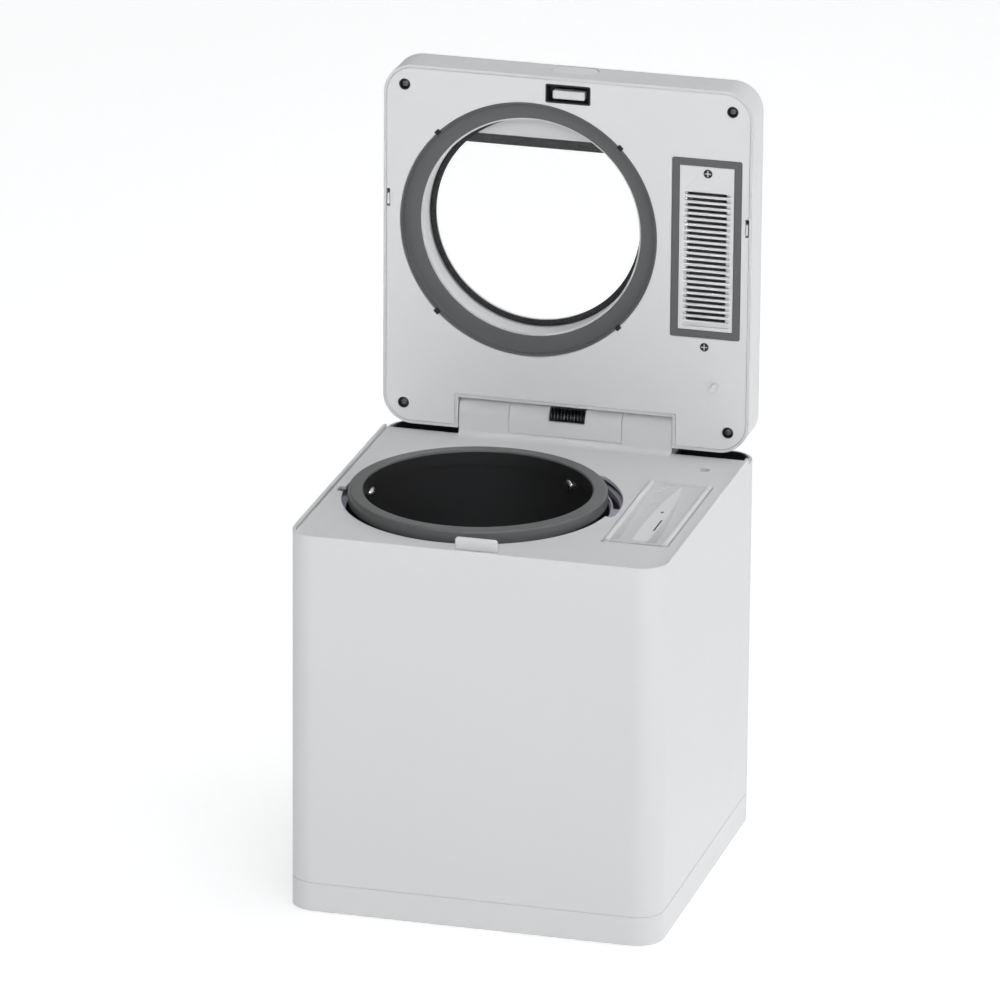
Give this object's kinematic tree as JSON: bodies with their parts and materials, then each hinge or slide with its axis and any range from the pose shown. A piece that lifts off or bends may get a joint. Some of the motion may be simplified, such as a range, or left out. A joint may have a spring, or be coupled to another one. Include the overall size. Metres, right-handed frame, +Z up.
{
  "type": "compact tumble dryer",
  "caption": "Countertop rotary clothes dryer: upright drum under a hinged lid with a round window, a lift-out lint filter, a vented rear and a push-to-open latch.",
  "frame": {"origin": "centre of the footprint, on the surface that the feet stand on", "axes": "+Z up, +X to the right seen from the front, -Y towards the front, where the lid's free edge meets the body when it is shut; the lid stands open at rest"},
  "size_m": [0.3, 0.306, 0.6148],
  "materials": {
    "pale_shell": "fine-grained moulding, pale warm grey",
    "pale_inside": "smooth moulding, light grey",
    "white_plastic": "smooth moulding, near white",
    "smoked_plastic": "see-through, smoky grey",
    "ring_grey": "satin moulding, mid grey",
    "black_plastic": "satin moulding, black",
    "grey_rubber": "soft, matt, mid grey",
    "black_rubber": "soft, matt, black",
    "drum_steel": "dark coated sheet, smooth",
    "bright_steel": "turned and pressed, bright",
    "spring_steel": "blued wire",
    "heater_alloy": "plain finned strip",
    "window_pane": "clear, flat",
    "filter_net": "fine woven net on a moulded cassette",
    "circuit_board": "coated board with parts"
  },
  "bodies": {
    "body": {"plinth": "pale_shell", "foot_1": "grey_rubber", "foot_2": "grey_rubber", "foot_3": "grey_rubber", "foot_4": "grey_rubber", "housing_shell": "pale_shell", "rear_panel": "pale_inside", "top_deck": "pale_shell", "hinge_cover": "pale_shell", "striker_tab": "white_plastic", "torsion_spring": "spring_steel", "hinge_damper": "black_plastic", "filter_well": "pale_inside", "outer_tub": "smoked_plastic", "bearing_housing": "bright_steel", "bearing_lower": "bright_steel", "bearing_upper": "bright_steel", "drive_motor": "bright_steel", "motor_bracket": "bright_steel", "belt": "black_rubber", "blower_housing": "pale_inside", "blower_motor": "bright_steel", "heater_duct": "bright_steel", "heater": "heater_alloy", "power_board": "circuit_board", "power_inlet": "black_plastic", "door_switch": "black_plastic"},
    "drum": {"drum": "drum_steel", "drum_ring": "ring_grey", "drum_rivet_1": "bright_steel", "drum_rivet_2": "bright_steel", "drum_rivet_3": "bright_steel", "lifter_1": "ring_grey", "lifter_2": "ring_grey", "lifter_3": "ring_grey", "drum_shaft": "bright_steel", "drum_pulley": "black_plastic"},
    "motor_wheel": {"motor_pulley": "bright_steel"},
    "fan": {"impeller": "white_plastic"},
    "filter": {"filter_frame": "white_plastic", "filter_grip": "white_plastic", "filter_mesh": "filter_net"},
    "switch_pin": {"switch_plunger": "white_plastic"},
    "lid": {"lid_shell": "pale_shell", "lid_liner": "pale_inside", "lid_gasket": "grey_rubber", "window_glass": "window_pane", "window_seal": "black_rubber", "control_panel": "black_plastic", "control_board": "circuit_board", "grille_gasket": "grey_rubber", "grille_plate": "pale_inside", "lid_pin": "white_plastic", "hinge_shaft": "bright_steel", "lid_screw_1": "spring_steel", "lid_screw_2": "spring_steel", "lid_screw_3": "spring_steel", "lid_screw_4": "spring_steel"},
    "release": {"release_button": "pale_shell", "latch_slider": "white_plastic"}
  },
  "joints": [
    {"name": "lid_hinge", "type": "hinge", "parent": "body", "child": "lid", "pos_m": [0, 0.133, 0.3288], "axis": [1, 0, 0], "range_deg": [0, 90], "stiffness_Nm_per_rad": 0.8, "springref_deg": -20.05},
    {"name": "drum_spin", "type": "hinge", "parent": "body", "child": "drum", "pos_m": [-0.0315, -0.0252, 0.086], "axis": [0, 0, 1], "continuous": true},
    {"name": "motor_spin", "type": "hinge", "parent": "body", "child": "motor_wheel", "pos_m": [0.092, 0.094, 0.04], "axis": [0, 0, 1], "continuous": true},
    {"name": "fan_spin", "type": "hinge", "parent": "body", "child": "fan", "pos_m": [0.111, -0.02, 0.153], "axis": [0, 0, 1], "continuous": true},
    {"name": "filter_lift", "type": "slide", "parent": "body", "child": "filter", "axis": [0, 0, -1], "range_m": [-0.065, 0]},
    {"name": "switch_press", "type": "slide", "parent": "body", "child": "switch_pin", "axis": [0, 0, -1], "range_m": [0, 0.0015], "stiffness_N_per_m": 200, "springref_m": -0.001},
    {"name": "release_press", "type": "slide", "parent": "lid", "child": "release", "axis": [0, 0, -1], "range_m": [0, 0.0016], "stiffness_N_per_m": 600, "springref_m": -0.001}
  ],
  "couplings": [
    {"joint": "motor_spin", "follows": "drum_spin", "ratio": 6.2222}
  ]
}
